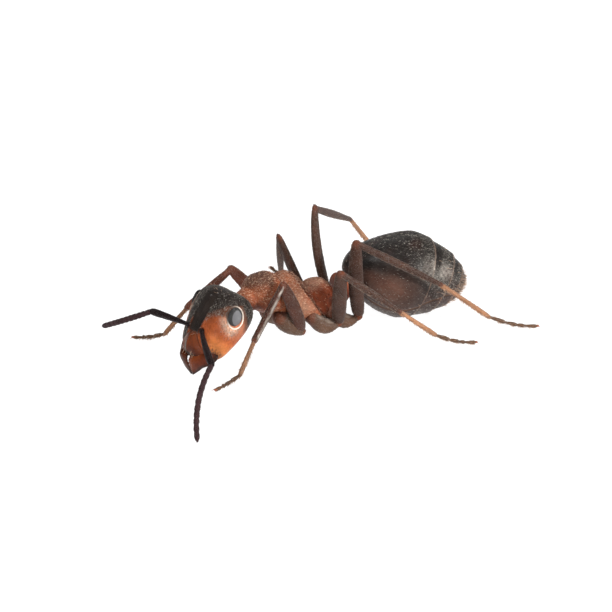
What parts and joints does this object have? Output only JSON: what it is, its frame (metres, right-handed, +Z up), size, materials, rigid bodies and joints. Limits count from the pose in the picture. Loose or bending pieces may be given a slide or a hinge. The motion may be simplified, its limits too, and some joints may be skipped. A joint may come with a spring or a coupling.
{
  "type": "red wood ant",
  "caption": "Still, life-size model of a red wood ant worker standing on the floor with its head lowered and its feelers reaching forward and out.",
  "frame": {"origin": "middle of the footprint, at floor level", "axes": "+Z up; the ant faces -Y, so +Y runs from its head to its tail end and +X is its left"},
  "size_m": [0.0078, 0.012, 0.0031],
  "materials": {
    "cuticle_rust": "satin",
    "cuticle_mahogany": "satin",
    "cuticle_umber": "satin",
    "cuticle_tan": "satin",
    "eye_facets": "gloss"
  },
  "bodies": {
    "root": {"head": "cuticle_rust", "pronotum": "cuticle_rust", "mesothorax": "cuticle_rust", "mandible_left": "cuticle_mahogany", "mandible_right": "cuticle_mahogany", "propodeum": "cuticle_mahogany", "petiole": "cuticle_mahogany", "eye_left": "eye_facets", "eye_right": "eye_facets", "scape_left": "cuticle_umber", "funiculus_base_left": "cuticle_umber", "funiculus_end_left": "cuticle_umber", "scape_right": "cuticle_umber", "funiculus_base_right": "cuticle_umber", "funiculus_end_right": "cuticle_umber", "gaster_first": "cuticle_umber", "gaster_second": "cuticle_umber", "gaster_third": "cuticle_umber", "gaster_fourth": "cuticle_umber", "gaster_tip": "cuticle_umber", "foreleg_left_coxa": "cuticle_mahogany", "foreleg_left_femur": "cuticle_umber", "foreleg_left_tibia": "cuticle_umber", "foreleg_left_tarsus": "cuticle_tan", "foreleg_left_toes": "cuticle_tan", "foreleg_right_coxa": "cuticle_mahogany", "foreleg_right_femur": "cuticle_umber", "foreleg_right_tibia": "cuticle_umber", "foreleg_right_tarsus": "cuticle_tan", "foreleg_right_toes": "cuticle_tan", "midleg_left_coxa": "cuticle_mahogany", "midleg_left_femur": "cuticle_umber", "midleg_left_tibia": "cuticle_umber", "midleg_left_tarsus": "cuticle_tan", "midleg_left_toes": "cuticle_tan", "midleg_right_coxa": "cuticle_mahogany", "midleg_right_femur": "cuticle_umber", "midleg_right_tibia": "cuticle_umber", "midleg_right_tarsus": "cuticle_tan", "midleg_right_toes": "cuticle_tan", "hindleg_left_coxa": "cuticle_mahogany", "hindleg_left_femur": "cuticle_umber", "hindleg_left_tibia": "cuticle_umber", "hindleg_left_tarsus": "cuticle_tan", "hindleg_left_toes": "cuticle_tan", "hindleg_right_coxa": "cuticle_mahogany", "hindleg_right_femur": "cuticle_umber", "hindleg_right_tibia": "cuticle_umber", "hindleg_right_tarsus": "cuticle_tan", "hindleg_right_toes": "cuticle_tan"}
  },
  "joints": []
}
